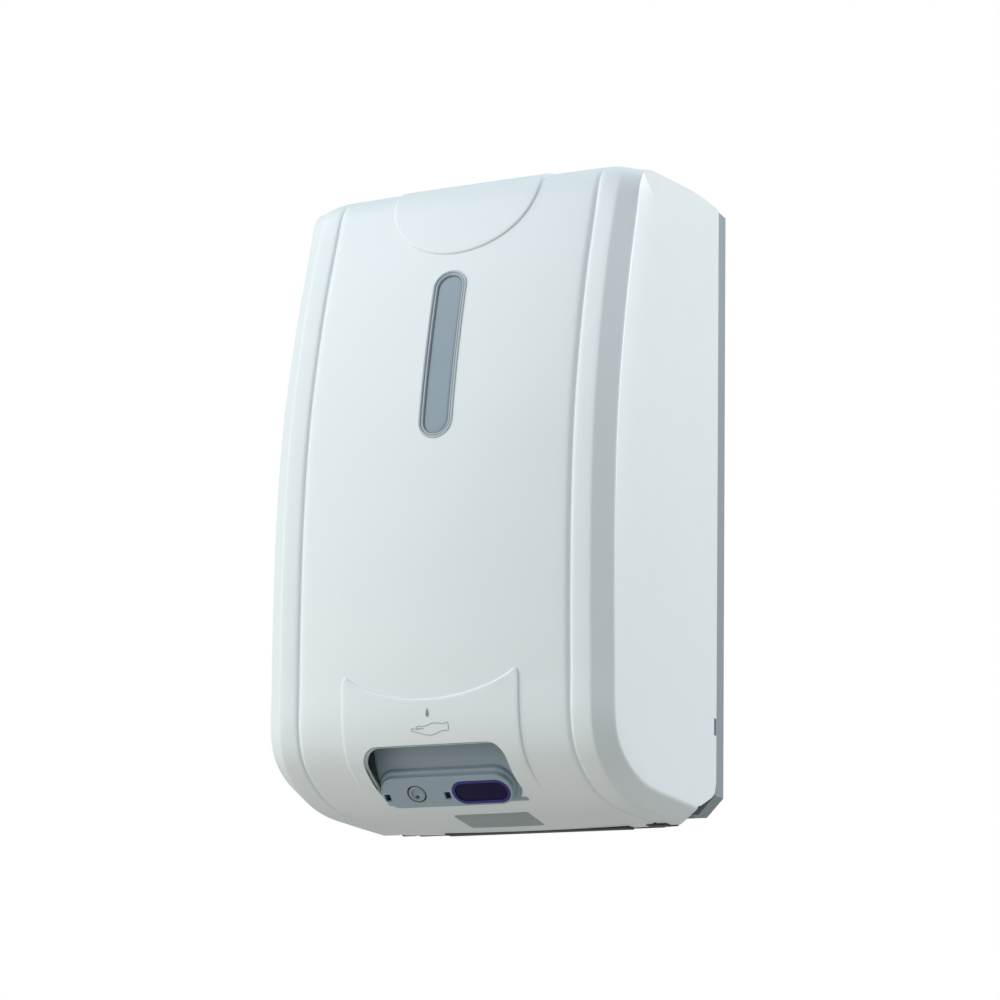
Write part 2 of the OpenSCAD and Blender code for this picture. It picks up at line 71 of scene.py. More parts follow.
# %% [markdown]
# The sizes are thought of as on a drawing: x across, depth out of the wall, and height
# above the hinge line, all in millimetres. The frame is in metres with its middle at the
# origin, so one small function turns a drawing place into a frame place.

# %% From the drawing to the frame
MM = 0.001
MID_HEIGHT = 132


def at(x, depth, height):
    return Vector((x, -depth, height - MID_HEIGHT)) * MM


print("top of the cover is at z =", round(at(0, 0, 272).z, 4), "m")


# %% [markdown]
# An operator acts on whatever is selected, so each piece starts by clearing the selection.
# A finished piece must be closed with its faces pointing outwards, so the same helper
# merges doubled points, turns the normals and smooths every face flatter than a set angle.

# %% Helpers for clean pieces
def clear_selection():
    if bpy.context.object and bpy.context.object.mode != "OBJECT":
        bpy.ops.object.mode_set(mode="OBJECT")
    bpy.ops.object.select_all(action="DESELECT")


def pick(piece):
    clear_selection()
    piece.select_set(True)
    bpy.context.view_layer.objects.active = piece


def tidy_mesh(piece, smooth_angle=35, merge=0.002):
    pick(piece)
    bpy.ops.object.mode_set(mode="EDIT")
    bpy.ops.mesh.select_all(action="SELECT")
    bpy.ops.mesh.remove_doubles(threshold=merge * MM)
    bpy.ops.mesh.normals_make_consistent(inside=False)
    bpy.ops.object.mode_set(mode="OBJECT")
    bpy.ops.object.shade_smooth_by_angle(angle=np.radians(smooth_angle))
    return piece


def apply_modifier(piece, kind, **settings):
    pick(piece)
    modifier = piece.modifiers.new(kind.title(), kind)
    for key, value in settings.items():
        setattr(modifier, key, value)
    bpy.ops.object.modifier_apply(modifier=modifier.name)
    return piece


def cut(piece, cutter):
    apply_modifier(piece, "BOOLEAN", object=cutter, operation="DIFFERENCE", solver="MANIFOLD")
    bpy.data.objects.remove(cutter)
    return piece


# %% [markdown]
# ## The shape of the cover
# Seen from the side, the cover is a soft line: it leaves the wall at the top, rolls over
# the front shoulder, swells to its deepest point low on the front, rolls under and comes
# back to the hinge. A smooth curve through a few measured points gives that line.

# %% The side line of the cover
SIDE_LINE = [(10, 272), (40, 271.2), (70, 269.2), (88, 266.9), (98, 264.2), (104.8, 260.0),
             (108.9, 253.4), (113.6, 238.8), (120.2, 215.6), (126.8, 183), (131.3, 150),
             (133.1, 112), (132.6, 75), (131, 43), (128.4, 22), (123.6, 11.5), (115, 3.8),
             (102, -2.6), (86, -6.3), (60, -7.5), (31, -8)]


def smooth_line(points, steps=40):
    """A centripetal Catmull-Rom curve through the points."""
    p = np.array(points, float)
    p = np.vstack([2 * p[0] - p[1], p, 2 * p[-1] - p[-2]])
    out = []
    for a, b, c, d in zip(p, p[1:], p[2:], p[3:]):
        t0 = 0.0
        t1 = t0 + np.linalg.norm(b - a) ** 0.5
        t2 = t1 + np.linalg.norm(c - b) ** 0.5
        t3 = t2 + np.linalg.norm(d - c) ** 0.5
        t = np.linspace(t1, t2, steps, endpoint=False)[:, None]
        ab = (t1 - t) / (t1 - t0) * a + (t - t0) / (t1 - t0) * b
        bc = (t2 - t) / (t2 - t1) * b + (t - t1) / (t2 - t1) * c
        cd = (t3 - t) / (t3 - t2) * c + (t - t2) / (t3 - t2) * d
        abc = (t2 - t) / (t2 - t0) * ab + (t - t0) / (t2 - t0) * bc
        bcd = (t3 - t) / (t3 - t1) * bc + (t - t1) / (t3 - t1) * cd
        out.append((t2 - t) / (t2 - t1) * abc + (t - t1) / (t2 - t1) * bcd)
    return np.vstack(out + [p[-2][None, :]])


line = smooth_line(SIDE_LINE)
run = np.concatenate([[0], np.cumsum(np.linalg.norm(np.diff(line, axis=0), axis=1))])
RUN_END = run[-1]
print("the side line is", round(RUN_END, 1), "mm long")

# %% [markdown]
# Across the front, the moulding is lower the further it is from the middle: a gentle
# crown, a rolled edge with a thin valley beside it, a flat band, then a chamfer and a soft
# corner on to the flat side. The inset pushes the front back, lifts the underside and
# lowers the top a little, so the same steps run all the way round the cover.

# %% The steps across the cover
HALF_WIDTH = 78
ACROSS = [(0, 0), (10, 0.06), (20, 0.26), (30, 0.58), (40, 1.03), (50, 1.62), (57, 2.1),
          (58.4, 2.25), (59.6, 2.45), (60.3, 2.85), (60.8, 3.35), (61.1, 3.6), (61.3, 3.6),
          (61.6, 3.3), (62.0, 3.0), (62.6, 2.87), (63.4, 2.84), (66, 2.88), (69.6, 3.05),
          (70.2, 3.15), (70.7, 3.4), (71.3, 3.9), (77, 8.7), (77.45, 9.15), (77.75, 9.6),
          (77.93, 10.0), (78, 10.5)]
across_x, across_inset = np.array(ACROSS).T
CROWN_INSET = 3.1


def ramp(value, start, end):
    t = np.clip((value - start) / (end - start), 0, 1)
    return t * t * (3 - 2 * t)


def skin(x, s, lift=0.0):
    """The cover's surface in millimetres at x across and s along the side line."""
    x, s = np.broadcast_arrays(np.asarray(x, float), np.asarray(s, float))

    def bare(x, s):
        depth, height = np.interp(s, run, line[:, 0]), np.interp(s, run, line[:, 1])
        inset = np.interp(np.abs(x), across_x, across_inset)
        crown = np.minimum(inset, CROWN_INSET)
        chamfer = (inset - crown) * (1 - 0.15 * ramp(height, 246, 256))
        inset = crown * (0.4 + 0.6 * ramp(height, 6, 50)) + chamfer
        back, up = ramp(depth, 88, 120), 1 - ramp(height, -8, 40)
        longest = np.maximum(1, np.hypot(back, up))
        droop = (0.45 * (across_inset[-1] - CROWN_INSET) * ramp(np.abs(x), 62, 79)
                 * ramp(depth, 20, 84) + 0.05 * crown) * ramp(height, 236, 258)
        back, up = inset * back / longest, inset * up / longest - droop
        return np.stack([x, -(depth - back), height + up - MID_HEIGHT], -1)

    place = bare(x, s)
    if np.any(lift):
        step = 0.4
        along_x = bare(x + step, s) - bare(x - step, s)
        along_s = bare(x, s + step) - bare(x, s - step)
        normal = np.cross(along_x, along_s)
        normal /= np.linalg.norm(normal, axis=-1, keepdims=True)
        outward = np.sign(normal[..., 1:2] * -1 + normal[..., 2:3] * np.sign(place[..., 2:3]))
        place = place + normal * outward * np.asarray(lift, float)[..., None]
    return place


def run_at_height(height):
    front = slice(int(np.argmax(line[:, 0] > 95)), len(line) - 1)
    return np.interp(-np.asarray(height, float), -line[front, 1], run[front])


def run_at_depth_below(depth):
    low = np.argmax(line[:, 0])
    return np.interp(-np.asarray(depth, float), -line[low:, 0], run[low:])


print("run at height 30:", round(float(run_at_height(30)), 1), "mm")


# %% [markdown]
# Every curved piece starts as a flat grid primitive whose points are then moved on to a
# formula. Where the grid closes on itself, its doubled points are merged afterwards.

# %% Bend a grid into a piece
def grid_piece(name, places):
    """A grid primitive with as many points as places has, moved there (millimetres)."""
    rows, columns = places.shape[:2]
    clear_selection()
    bpy.ops.mesh.primitive_grid_add(x_subdivisions=columns - 1, y_subdivisions=rows - 1,
                                    size=2, location=(0, 0, 0))
    piece = bpy.context.object
    piece.name = piece.data.name = name
    flat = np.empty(len(piece.data.vertices) * 3)
    piece.data.vertices.foreach_get("co", flat)
    flat = flat.reshape(-1, 3)
    column = np.rint((flat[:, 0] + 1) / 2 * (columns - 1)).astype(int)
    row = np.rint((flat[:, 1] + 1) / 2 * (rows - 1)).astype(int)
    piece.data.vertices.foreach_set("co", (places[row, column] * MM).ravel())
    piece.data.update()
    return piece


# %% [markdown]
# ## The cover shell
# The real cover is one injection moulding about 2.4 mm thick. Rows follow the side line
# and columns follow the steps across. Past the last column the flat side is ruled
# straight back to the rear edge, which is notched at the foot to clear the hinge.

# %% Rows and columns of the shell
ROWS = 250
half_columns = np.unique(np.concatenate([np.arange(0, 57, 3.0), across_x,
                                         [58, 59, 64.5, 68, 73, 75, 76.2]]))
columns = np.concatenate([-half_columns[:0:-1], half_columns])
rows_at = np.linspace(0, RUN_END, ROWS)
front_sheet = skin(columns[None, :], rows_at[:, None])

REAR_EDGE = np.array([(10, 270.5), (10, 13.5), (11.6, 8.6), (15.5, 6.2), (31, 0)])
SIDE_STRIPS = 6
foot = float(run_at_depth_below(95))
rear_run = np.interp(rows_at, [0, 30, foot, foot + 12, foot + 22, foot + 40, foot + 56, RUN_END],
                     [0, 0.04, 1, 1.3, 2, 2.5, 3, 4])
rear_depth = np.interp(rear_run, range(5), REAR_EDGE[:, 0])
rear_height = np.interp(rear_run, range(5), REAR_EDGE[:, 1])
print("shell grid:", ROWS, "rows,", len(columns) + 2 * SIDE_STRIPS, "columns")

# %% Make the shell
def side_strips(edge, sign):
    rear = np.stack([np.full(ROWS, sign * HALF_WIDTH), -rear_depth,
                     rear_height - MID_HEIGHT], -1)
    rear[0], rear[-1] = edge[0], edge[-1]
    share = np.linspace(0, 1, SIDE_STRIPS + 1)[1:]
    return edge[:, None, :] * (1 - share[None, :, None]) + rear[:, None, :] * share[None, :, None]


left = side_strips(front_sheet[:, 0], -1)[:, ::-1]
right = side_strips(front_sheet[:, -1], 1)
shell = grid_piece("cover_shell", np.concatenate([left, front_sheet, right], axis=1))
tidy_mesh(shell)
normals = np.array([p.normal for p in shell.data.polygons])
centres = np.array([p.center for p in shell.data.polygons])
SHELL_MIDDLE = np.array([0, -0.06, 0])
if (normals * (centres - SHELL_MIDDLE)).sum() < 0:
    pick(shell)
    bpy.ops.object.mode_set(mode="EDIT")
    bpy.ops.mesh.select_all(action="SELECT")
    bpy.ops.mesh.flip_normals()
    bpy.ops.object.mode_set(mode="OBJECT")
WALL = 2.4
apply_modifier(shell, "SOLIDIFY", thickness=WALL * MM, offset=-1, use_even_offset=False)
print("shell faces:", len(shell.data.polygons))

# %% [markdown]
# The nose looks out through an opening that wraps from the front round to the underside.
# It is cut with a block whose two upper corners and two rear corners are rounded first.

# %% Cut the opening for the nose
OPENING_LEFT, OPENING_RIGHT, OPENING_TOP, OPENING_REAR = -32.6, 31.8, 15.7, 96
OPENING_TOP_CORNER, OPENING_REAR_CORNER = 7.5, 13


def block(name, low, high):
    """A cube primitive between two corners on the drawing (x, depth, height)."""
    a, b = at(*low), at(*high)
    clear_selection()
    bpy.ops.mesh.primitive_cube_add(size=1, location=(a + b) / 2)
    piece = bpy.context.object
    piece.name = piece.data.name = name
    piece.scale = [abs(v) for v in b - a]
    bpy.ops.object.transform_apply(location=True, rotation=True, scale=True)
    return piece


def bevel_edges(piece, chosen, offset, segments):
    """Bevel the edges for which chosen(middle, direction) is true (drawing millimetres)."""
    pick(piece)
    bpy.ops.object.mode_set(mode="EDIT")
    bpy.ops.mesh.select_all(action="DESELECT")
    bpy.ops.object.mode_set(mode="OBJECT")
    points = piece.data.vertices
    for edge in piece.data.edges:
        a, b = (points[i].co / MM for i in edge.vertices)
        edge.select = bool(chosen((a + b) / 2, (b - a).normalized()))
    bpy.ops.object.mode_set(mode="EDIT")
    bpy.ops.mesh.select_mode(type="EDGE")
    bpy.ops.mesh.bevel(offset=offset * MM, segments=segments, affect="EDGES", clamp_overlap=True)
    bpy.ops.object.mode_set(mode="OBJECT")
    return piece


def nose_cutter():
    cutter = block("opening_cutter", (OPENING_LEFT, OPENING_REAR, -30),
                   (OPENING_RIGHT, 150, OPENING_TOP))
    top = OPENING_TOP - MID_HEIGHT
    bevel_edges(cutter, lambda m, d: abs(d.y) > 0.9 and m.z > top - 1, OPENING_TOP_CORNER, 14)
    bevel_edges(cutter, lambda m, d: abs(d.z) > 0.9 and m.y > -OPENING_REAR - 1,
                OPENING_REAR_CORNER, 14)
    return cutter


cut(shell, nose_cutter())
print("opening cut:", len(shell.data.polygons), "faces")

# %% Cut the slot for the level window
SLOT_LOW, SLOT_HIGH, SLOT_HALF = 143, 218, 7.0


def slot_cutter(half, low, high):
    cutter = block("slot_cutter", (-half, 90, low), (half, 150, high))
    return bevel_edges(cutter, lambda m, d: abs(d.y) > 0.9, half * 0.999, 20)


cut(shell, slot_cutter(SLOT_HALF + 0.4, SLOT_LOW - 0.4, SLOT_HIGH + 0.4))

# %% [markdown]
# Low on the right side, at the seam with the back plate, there is a small black slot. It is
# a notch in the rear edge of the cover with a dark insert set into it.

# %% The small side slot
SIDE_SLOT_LOW, SIDE_SLOT_HIGH, SIDE_SLOT_DEPTH = 33.6, 41.0, 12.6
cut(shell, block("side_slot_cutter", (74, 9, SIDE_SLOT_LOW),
                 (80, SIDE_SLOT_DEPTH, SIDE_SLOT_HIGH)))
side_slot = block("side_slot", (75.8, 10.1, SIDE_SLOT_LOW + 0.05),
                  (77.2, SIDE_SLOT_DEPTH - 0.05, SIDE_SLOT_HIGH - 0.05))
bevel_edges(side_slot, lambda m, d: m.x > 77, 0.2, 3)
tidy_mesh(side_slot)
tidy_mesh(shell, smooth_angle=28)
print("shell after cutting:", len(shell.data.polygons), "faces")


# %% [markdown]
# ## Raised panels on the cover
# Two shallow raised areas are part of the moulding: a half-round tab over the top edge,
# where fingers open the cover, and a lower panel with a hollow arc for its top edge. Each
# is a pillow of rings: the first rings roll up the edge, the rest close in to a core line,
# and one ring below the surface makes the piece solid.

# %% Rings over the skin
def offset_inward(outline, distance):
    ahead, behind = np.roll(outline, -1, axis=0), np.roll(outline, 1, axis=0)
    tangent = ahead - behind
    tangent /= np.linalg.norm(tangent, axis=1, keepdims=True)
    return outline + np.stack([-tangent[:, 1], tangent[:, 0]], 1) * distance


def pillow(name, outline, edge_steps, core, rings, sink, fade=None):
    """A closed raised piece on the cover. outline is (x, run) counter-clockwise."""
    layers = []
    inner = offset_inward(outline, edge_steps[-1][0])
    inward = [inner * (1 - t) + np.array(core) * t for t in np.linspace(0, 1, rings + 1)]
    height = fade or (lambda flat: np.ones(len(flat)))
    for flat in inward[:0:-1]:
        layers.append(skin(flat[:, 0], flat[:, 1], np.full(len(flat), -sink)))
    for inset, rise in edge_steps:
        flat = offset_inward(outline, inset)
        layers.append(skin(flat[:, 0], flat[:, 1], rise * height(flat) - 0.05))
    for flat in inward[1:]:
        rise = edge_steps[-1][1] * height(flat) - 0.05
        layers.append(skin(flat[:, 0], flat[:, 1], rise))
    places = np.stack(layers)
    places = np.concatenate([places, places[:, :1]], axis=1)
    return tidy_mesh(grid_piece(name, places), smooth_angle=60)


def even_outline(points, count):
    points = np.array(points, float)
    closed = np.vstack([points, points[:1]])
    length = np.concatenate([[0], np.cumsum(np.linalg.norm(np.diff(closed, axis=0), axis=1))])
    at_length = np.linspace(0, length[-1], count, endpoint=False)
    return np.stack([np.interp(at_length, length, closed[:, k]) for k in (0, 1)], 1)


ROLL = [(-0.15, -0.35), (0.0, 0.05), (0.12, 0.38), (0.35, 0.62), (0.7, 0.74), (1.2, 0.78)]
print("edge rolls up", ROLL[-1][1], "mm over", ROLL[-1][0], "mm")

# %% The half-round tab
TAB_HALF, TAB_DROP, TAB_CENTRE = 34.5, 32.0, 257
tab_turn = np.linspace(0, np.pi, 120)
tab_x = -TAB_HALF * np.cos(tab_turn)
tab_run = run_at_height(TAB_CENTRE) + TAB_DROP * np.sin(tab_turn)
tab_back = run_at_height(TAB_CENTRE) - 38
tab_arc = np.stack([tab_x, tab_run], 1)
tab_rear = np.array([(TAB_HALF, tab_back + 4), (TAB_HALF - 4, tab_back),
                     (-TAB_HALF + 4, tab_back), (-TAB_HALF, tab_back + 4)])
tab_outline = even_outline(np.vstack([tab_arc, tab_rear])[::-1], 320)
tab_core = (0, float(run_at_height(TAB_CENTRE)) - 4)
top_tab = pillow("top_tab", tab_outline, ROLL, tab_core, 26, 0.6)
print("tab faces:", len(top_tab.data.polygons))

# %% The lower panel
PANEL_HALF, PANEL_TOP, PANEL_DIP = 40, 44.4, 34.0
arc_x = np.linspace(-PANEL_HALF + 2.4, PANEL_HALF - 2.4, 90)
arc_height = PANEL_TOP - (PANEL_TOP - PANEL_DIP) * (1 - (arc_x / (PANEL_HALF - 2.4)) ** 2) ** 0.85
arc = np.stack([arc_x, run_at_height(arc_height)], 1)
panel_top_run, panel_foot = float(run_at_height(PANEL_TOP)), float(run_at_depth_below(92))
right_side = [(PANEL_HALF - 0.8, panel_top_run + 0.4), (PANEL_HALF, panel_top_run + 2.6),
              (PANEL_HALF, panel_foot - 8), (PANEL_HALF - 8, panel_foot)]
left_side = [(-x, s) for x, s in right_side[::-1]]
panel_outline = even_outline(np.vstack([arc, right_side, left_side]), 420)
panel_core = (0, float(run_at_height(12)))


def panel_fade(flat):
    return 1 - ramp(flat[:, 1], float(run_at_depth_below(124)), float(run_at_depth_below(97)))


lower_panel = pillow("lower_panel", panel_outline, ROLL, panel_core, 30, 0.6, panel_fade)
cut(lower_panel, nose_cutter())
tidy_mesh(lower_panel, smooth_angle=50)
print("panel faces:", len(lower_panel.data.polygons))

# %% [markdown]
# ## The level window
# A slot in the front shows how much soap is left. A thin grey frame lines it: an outer lip
# that laps the cover, a groove, and a finer inner lip, with a tinted lens set in below.
# The frame is one closed section carried round a stadium outline.

# %% The window frame and its lens
def stadium(half, low, high, count=160):
    turn = np.linspace(0, np.pi, 40)
    top, foot = run_at_height(high - half), run_at_height(low + half)
    lower = np.stack([half * np.cos(turn), foot + half * np.sin(turn)], 1)
    upper = np.stack([-half * np.cos(turn), top - half * np.sin(turn)], 1)
    return even_outline(np.vstack([lower, upper]), count)


FRAME_SECTION = [(0.0, -0.1), (0.08, 0.28), (0.3, 0.42), (0.7, 0.42), (0.95, 0.26),
                 (1.05, -0.35), (1.35, -0.4), (1.45, -0.05), (1.65, 0.05), (1.95, -0.02),
                 (2.1, -0.3), (2.15, -1.9), (0.55, -1.9), (0.5, -0.1)]
frame_outline = stadium(SLOT_HALF + 0.9, SLOT_LOW - 0.9, SLOT_HIGH + 0.9)
frame_rows = []
for inset, rise in FRAME_SECTION + FRAME_SECTION[:1]:
    flat = offset_inward(frame_outline, inset)
    frame_rows.append(skin(flat[:, 0], flat[:, 1], np.full(len(flat), rise)))
frame_places = np.stack(frame_rows)
frame_places = np.concatenate([frame_places, frame_places[:, :1]], axis=1)
window_surround = tidy_mesh(grid_piece("window_surround", frame_places), smooth_angle=45)

lens_outline = stadium(SLOT_HALF - 1.15, SLOT_LOW + 1.15, SLOT_HIGH - 1.15)
lens_core = (0, float(run_at_height((SLOT_LOW + SLOT_HIGH) / 2)))
LENS_STEPS = [(0, -1.15), (0.1, -0.95), (0.4, -0.88), (1.5, -0.8)]
level_lens = pillow("level_lens", lens_outline, LENS_STEPS, lens_core, 24, 2.1)
print("window frame faces:", len(window_surround.data.polygons))

# %% [markdown]
# ## The printed sign
# Above the nose a thin grey print shows a drop falling on an open hand. The drop is a
# small pillow. The hand is one line drawn with a narrow ribbon that lies on the panel.

# %% Draw the drop and the hand
INK = 0.13
PANEL_FACE = ROLL[-1][1]


def ribbon(name, points, width):
    """A thin closed strip along a smooth line of (x, height) points on the lower panel."""
    path = smooth_line(points, 8)
    path = np.stack([path[:, 0], run_at_height(path[:, 1])], 1)
    tangent = np.gradient(path, axis=0)
    tangent /= np.linalg.norm(tangent, axis=1, keepdims=True)
    side = np.stack([-tangent[:, 1], tangent[:, 0]], 1)
    taper = np.minimum(1, np.minimum(np.arange(len(path)), np.arange(len(path))[::-1]) / 2.0)
    rows = []
    for across, rise in [(-1, 0), (-0.8, INK), (0.8, INK), (1, 0), (0, -0.2), (-1, 0)]:
        flat = path + side * (across * width / 2 * taper)[:, None]
        rise_here = (max(rise, 0) - (rise < 0) * 0.2) * (taper > 0)
        lift = PANEL_FACE - 0.05 + rise_here
        rows.append(skin(flat[:, 0], flat[:, 1], lift))
    return tidy_mesh(grid_piece(name, np.stack(rows)), smooth_angle=40)


drop_turn = np.linspace(0, 2 * np.pi, 60, endpoint=False)
drop_x = 0.95 * np.sin(drop_turn) * (0.5 - 0.5 * np.cos(drop_turn)) ** 0.6
drop_height = 28.3 + 1.75 * np.cos(drop_turn)
drop_outline = np.stack([-drop_x - 0.2, run_at_height(drop_height)], 1)
drop_core = np.tile(np.array([[-0.2, float(run_at_height(27.7))]]), (60, 1))
drop_rows = [skin(f[:, 0], f[:, 1], np.full(60, lift)) for f, lift in
             [(drop_core, 0.5), (drop_outline, 0.5), (drop_outline, PANEL_FACE + INK - 0.05),
              (drop_core, PANEL_FACE + INK - 0.05)]]
drop_places = np.stack(drop_rows)
drop_places = np.concatenate([drop_places, drop_places[:, :1]], axis=1)
sign_drop = tidy_mesh(grid_piece("sign_drop", drop_places), smooth_angle=40)

PALM = [(8.6, 24.0), (6.4, 23.6), (4.2, 23.9), (1.6, 23.9), (-0.4, 23.3), (-2.6, 22.9),
        (-4.8, 23.0), (-5.6, 22.5), (-4.4, 22.1), (-1.8, 22.0)]
FINGERS = [(-2.4, 22.2), (-5.0, 21.9), (-7.6, 22.1), (-7.9, 21.5), (-5.4, 20.7), (-2.6, 19.9),
           (0.2, 19.4), (2.6, 19.7), (4.8, 20.5), (6.6, 20.9), (8.6, 20.8)]
CUFF = [(8.6, 24.3), (8.9, 22.4), (8.6, 20.5)]
LINE_WIDTH = 0.36
sign_parts = [ribbon(name, points, LINE_WIDTH) for name, points in
              [("sign_palm", PALM), ("sign_fingers", FINGERS), ("sign_cuff", CUFF)]]
pick(sign_parts[0])
for part in sign_parts[1:]:
    part.select_set(True)
bpy.ops.object.join()
hand_sign = bpy.context.object
hand_sign.name = hand_sign.data.name = "hand_sign"
print("sign faces:", len(hand_sign.data.polygons))

# %% [markdown]
# The rating label under the cover is a small silvery sticker. Its lettering is left out,
# so it is a plain plate with rounded corners that follows the underside.

# %% The blank label
LABEL_X, LABEL_DEPTH, LABEL_CORNER, LABEL_SLANT = (-14, 20), (51, 82.5), 1.5, 0.2


def rounded_rectangle(x0, x1, s0, s1, radius, count):
    turn = np.linspace(0, np.pi / 2, 10)
    points = []
    for cx, cs, start in [(x1 - radius, s1 - radius, 0), (x0 + radius, s1 - radius, 1),
                          (x0 + radius, s0 + radius, 2), (x1 - radius, s0 + radius, 3)]:
        a = turn + start * np.pi / 2
        points += list(zip(cx + radius * np.cos(a), cs + radius * np.sin(a)))
    return even_outline(points, count)


label_runs = sorted(float(run_at_depth_below(d)) for d in LABEL_DEPTH)
label_outline = rounded_rectangle(*LABEL_X, *label_runs, LABEL_CORNER, 120)
label_outline[:, 0] -= (label_outline[:, 1] - label_outline[:, 1].mean()) * LABEL_SLANT
label_core = (sum(LABEL_X) / 2, sum(label_runs) / 2)
blank_label = pillow("blank_label", label_outline, [(0, 0.05), (0.05, 0.22), (0.3, 0.24)],
                     label_core, 12, 0.3)
print("label runs:", [round(v, 1) for v in label_runs])

# %% [markdown]
# ## The nose
# The nose is a satin grey housing. A slanting wall closes the opening, and below it a
# stadium-shaped plate faces down and forwards at 45 degrees. The plate is modelled flat,
# where holes and rounded rims are easy, and is then turned into place in its mesh.

# %% The slanting wall behind the opening
FACE_LOW, FACE_HIGH = (101.5, -6.0), (112.5, 4.5)
WALL_LINE = [(89, 23.8), (89, -3.6), (99, -4.2), (108.6, 5.4), (110.2, 8.2), (116.2, 20.0),
             (116.2, 23.8)]
WALL_LEFT, WALL_RIGHT = -33.0, 30.8


def side_block(name, line, left, right):
    """A side outline of (depth, height) points, pulled sideways from left to right."""
    clear_selection()
    bpy.ops.mesh.primitive_circle_add(vertices=len(line), radius=1, fill_type="NGON")
    piece = bpy.context.object
    piece.name = piece.data.name = name
    for vertex, (depth, height) in zip(piece.data.vertices, line):
        vertex.co = at(left, depth, height)
    bpy.ops.object.mode_set(mode="EDIT")
    bpy.ops.mesh.select_all(action="SELECT")
    bpy.ops.mesh.extrude_region_move(
        TRANSFORM_OT_translate={"value": ((right - left) * MM, 0, 0)})
    bpy.ops.object.mode_set(mode="OBJECT")
    return tidy_mesh(piece)


def round_block(piece, width):
    apply_modifier(piece, "BEVEL", width=width * MM, segments=4, limit_method="ANGLE",
                   angle_limit=np.radians(20))
    return tidy_mesh(piece, smooth_angle=40)


nose_wall = round_block(side_block("nose_wall", WALL_LINE, WALL_LEFT, WALL_RIGHT), 0.9)
NOSE_ARM = [(60.05, 21), (90, 21), (90, 23.6), (63, 23.6), (63, 30), (60.05, 30)]
nose_arm = round_block(side_block("nose_arm", NOSE_ARM, 14, 28), 0.3)
print("nose wall faces:", len(nose_wall.data.polygons), "arm:", len(nose_arm.data.polygons))

# %% [markdown]
# A black hinge strip lies in the underside of the cover along its rear edge, with a short
# pad beside it that sits higher because the cover rises towards its corner.

# %% Hinge strip and pad
hinge_strip = round_block(block("hinge_strip", (-37.5, 30.4, -8.2), (49, 36.5, -6)), 0.25)
hinge_pad = round_block(block("hinge_pad", (57, 30.8, -7.6), (66, 37, -3)), 0.25)
print("hinge strip:", [round(v / MM, 1) for v in hinge_strip.dimensions])

# %% The face plate, modelled flat
FACE_LENGTH = 59.4
FACE_HEIGHT = float(np.hypot(FACE_HIGH[0] - FACE_LOW[0], FACE_HIGH[1] - FACE_LOW[1]))
FACE_X = -2.2
face_middle = at(FACE_X, (FACE_LOW[0] + FACE_HIGH[0]) / 2, (FACE_LOW[1] + FACE_HIGH[1]) / 2)
face_frame = Matrix.Translation(face_middle) @ Matrix(
    ((1, 0, 0, 0), (0, -(0.5 ** 0.5), -(0.5 ** 0.5), 0), (0, 0.5 ** 0.5, -(0.5 ** 0.5), 0),
     (0, 0, 0, 1)))


def flat_block(name, x, y, width, height, top, bottom, corner, rim=0.0, rim_steps=4):
    """A rounded slab lying flat on the face: x and y are its middle, millimetres."""
    clear_selection()
    bpy.ops.mesh.primitive_cube_add(size=1, location=(x * MM, y * MM, (top + bottom) / 2 * MM))
    piece = bpy.context.object
    piece.name = piece.data.name = name
    piece.scale = (width * MM, height * MM, (top - bottom) * MM)
    bpy.ops.object.transform_apply(location=True, rotation=True, scale=True)
    bevel_edges(piece, lambda m, d: abs(d.z) > 0.9, corner, 18)
    if rim:
        bevel_edges(piece, lambda m, d: abs(m.z - top) < 0.01 and abs(d.z) < 0.1, rim, rim_steps)
    return piece


def set_in_face(piece, smooth_angle=40):
    piece.data.transform(face_frame)
    return tidy_mesh(piece, smooth_angle=smooth_angle)


def disc_cutter(x, y, radius, top, bottom, turns=48):
    clear_selection()
    bpy.ops.mesh.primitive_cylinder_add(vertices=turns, radius=radius * MM,
                                        depth=(top - bottom) * MM,
                                        location=(x * MM, y * MM, (top + bottom) / 2 * MM))
    bpy.ops.object.transform_apply(location=True, rotation=True, scale=True)
    return bpy.context.object


face_plate = flat_block("face_plate", 0, 0, FACE_LENGTH, FACE_HEIGHT, 0, -2.6,
                        FACE_HEIGHT * 0.47, 0.7)
face_base = flat_block("face_base", 0, 1.0, FACE_LENGTH + 1.4, FACE_HEIGHT + 1.6, -1.9, -8.0,
                       FACE_HEIGHT * 0.5, 1.1)
print("face plate:", FACE_LENGTH, "x", round(FACE_HEIGHT, 1), "mm")

# %% [markdown]
# Four things look out of the plate: the nozzle in its ring groove, two small indicator
# holes, and the long dark window of the hand sensor. Each hole is cut first, and each
# fitting is then its own small piece set into the hole.

# %% Cut the holes
NOZZLE_X, EYE_X, EYE_WIDTH, EYE_HEIGHT = -13.6, 15.5, 26.0, 11.6
INDICATOR_X = (-27.3, 0.1)
EYE_Y, NOZZLE_Y, INDICATOR_Y = -0.8, -0.5, -1.9
NOZZLE_RADIUS = 4.3
for plate in (face_plate, face_base):
    cut(plate, disc_cutter(NOZZLE_X, NOZZLE_Y, NOZZLE_RADIUS, 3, -4.6))
    cut(plate, flat_block("eye_cutter", EYE_X, EYE_Y, EYE_WIDTH, EYE_HEIGHT, 3, -3.6,
                          EYE_HEIGHT * 0.49))
    for x in INDICATOR_X:
        cut(plate, flat_block("indicator_cutter", x, INDICATOR_Y, 2.7, 3.6, 3, -3.9, 0.25))
set_in_face(face_plate)
set_in_face(face_base)

